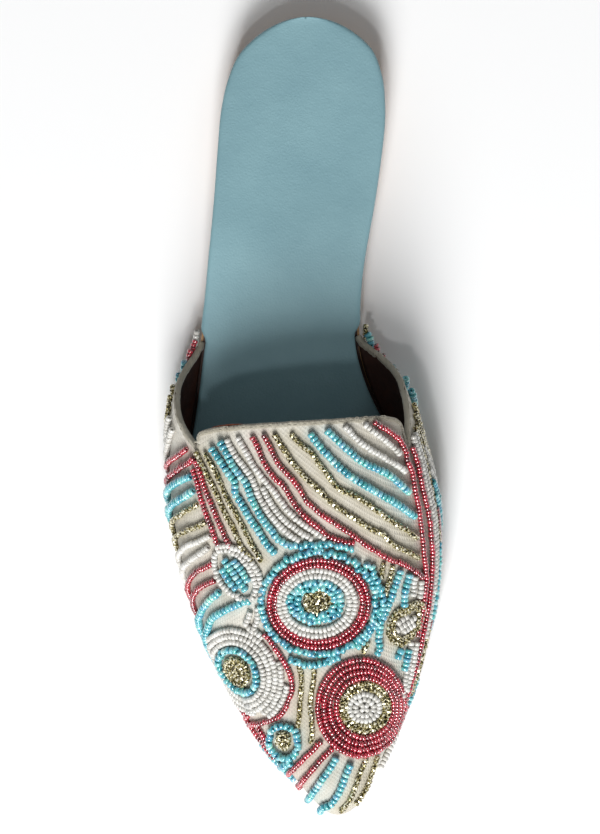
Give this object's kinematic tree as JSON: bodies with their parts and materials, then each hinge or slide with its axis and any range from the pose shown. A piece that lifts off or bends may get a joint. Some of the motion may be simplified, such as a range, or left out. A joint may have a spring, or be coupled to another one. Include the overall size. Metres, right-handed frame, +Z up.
{
  "type": "flat shoe",
  "caption": "Flat backless slip-on shoe with a pointed toe, beaded cloth upper, covered insole and zigzag-tread sole with a low heel.",
  "frame": {"origin": "on the floor under the middle of the shoe's box", "axes": "+Z up, -Y towards the toe, +X towards the inner side of the foot"},
  "size_m": [0.0868, 0.263, 0.0558],
  "materials": {
    "sole_leather": "smooth tan, satin",
    "insole_leather": "fine-grained pale grey-blue, satin",
    "upper_cloth": "plain-woven natural cloth",
    "red_beads": "glossy lined seed beads",
    "gold_beads": "glossy metal-lined seed beads",
    "white_beads": "pearly seed beads",
    "turquoise_beads": "lustrous seed beads"
  },
  "bodies": {
    "root": {"outsole": "sole_leather", "heel": "sole_leather", "insole": "insole_leather", "upper": "upper_cloth", "leaf_lateral": "turquoise_beads", "leaf_medial": "gold_beads", "rail_lateral_inner": "red_beads", "rail_lateral_outer": "red_beads", "rail_medial_inner": "red_beads", "rail_medial_outer": "red_beads", "rosette_lateral": "turquoise_beads", "rosette_medial": "red_beads", "rosette_middle": "red_beads", "rosette_toe": "turquoise_beads", "row_gold_lateral_1": "gold_beads", "row_gold_lateral_2": "gold_beads", "row_gold_middle_1": "gold_beads", "row_gold_middle_2": "gold_beads", "row_gold_toe_1": "gold_beads", "row_gold_toe_2": "gold_beads", "row_gold_toe_lateral": "gold_beads", "row_gold_toe_medial": "gold_beads", "row_red_middle_1": "red_beads", "row_red_middle_2": "red_beads", "row_red_toe_1": "red_beads", "row_red_toe_2": "red_beads", "row_turquoise_lateral_1": "turquoise_beads", "row_turquoise_lateral_2": "turquoise_beads", "row_turquoise_medial_1": "turquoise_beads", "row_turquoise_medial_2": "turquoise_beads", "row_turquoise_toe_1": "turquoise_beads", "row_turquoise_toe_2": "turquoise_beads", "row_white_lateral_1": "white_beads", "row_white_lateral_2": "white_beads", "row_white_medial_1": "white_beads", "row_white_medial_2": "white_beads"}
  },
  "joints": []
}
